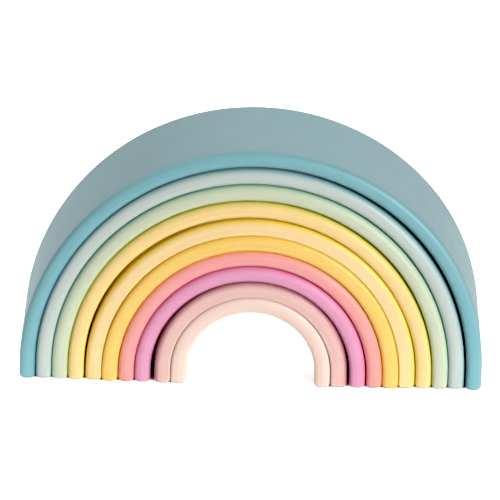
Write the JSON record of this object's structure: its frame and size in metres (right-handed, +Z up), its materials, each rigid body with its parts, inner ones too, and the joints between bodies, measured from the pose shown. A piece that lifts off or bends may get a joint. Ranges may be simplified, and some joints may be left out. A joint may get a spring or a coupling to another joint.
{
  "type": "rainbow stacker",
  "caption": "Nested set of soft moulded arches in pastel colours that stand one inside another as a rainbow and slide apart for stacking play.",
  "frame": {"origin": "on the ground, at the middle of the nest's footprint", "axes": "+X to the right along the width, +Y to the back along the depth, +Z up"},
  "size_m": [0.264, 0.0792, 0.1408],
  "materials": {
    "teal_silicone": "matte moulded silicone",
    "pale_blue_silicone": "matte moulded silicone",
    "mint_silicone": "matte moulded silicone",
    "lemon_silicone": "matte moulded silicone",
    "cream_silicone": "matte moulded silicone",
    "gold_silicone": "matte moulded silicone",
    "coral_silicone": "matte moulded silicone",
    "orchid_silicone": "matte moulded silicone",
    "dusty_pink_silicone": "matte moulded silicone",
    "peach_silicone": "matte moulded silicone"
  },
  "bodies": {
    "teal": {"teal_arch": "teal_silicone"},
    "pale_blue": {"pale_blue_arch": "pale_blue_silicone"},
    "mint": {"mint_arch": "mint_silicone"},
    "lemon": {"lemon_arch": "lemon_silicone"},
    "cream": {"cream_arch": "cream_silicone"},
    "gold": {"gold_arch": "gold_silicone"},
    "coral": {"coral_arch": "coral_silicone"},
    "orchid": {"orchid_arch": "orchid_silicone"},
    "dusty_pink": {"dusty_pink_arch": "dusty_pink_silicone"},
    "peach": {"peach_arch": "peach_silicone"}
  },
  "joints": [
    {"name": "pale_blue_slide", "type": "slide", "parent": "teal", "child": "pale_blue", "axis": [0, 1, 0], "range_m": [-0.085, 0.085]},
    {"name": "mint_slide", "type": "slide", "parent": "pale_blue", "child": "mint", "axis": [0, 1, 0], "range_m": [-0.085, 0.085]},
    {"name": "lemon_slide", "type": "slide", "parent": "mint", "child": "lemon", "axis": [0, 1, 0], "range_m": [-0.085, 0.085]},
    {"name": "cream_slide", "type": "slide", "parent": "lemon", "child": "cream", "axis": [0, 1, 0], "range_m": [-0.085, 0.085]},
    {"name": "gold_slide", "type": "slide", "parent": "cream", "child": "gold", "axis": [0, 1, 0], "range_m": [-0.085, 0.085]},
    {"name": "coral_slide", "type": "slide", "parent": "gold", "child": "coral", "axis": [0, 1, 0], "range_m": [-0.085, 0.085]},
    {"name": "orchid_slide", "type": "slide", "parent": "coral", "child": "orchid", "axis": [0, 1, 0], "range_m": [-0.085, 0.085]},
    {"name": "dusty_pink_slide", "type": "slide", "parent": "orchid", "child": "dusty_pink", "axis": [0, 1, 0], "range_m": [-0.085, 0.085]},
    {"name": "peach_slide", "type": "slide", "parent": "dusty_pink", "child": "peach", "axis": [0, 1, 0], "range_m": [-0.085, 0.085]}
  ]
}
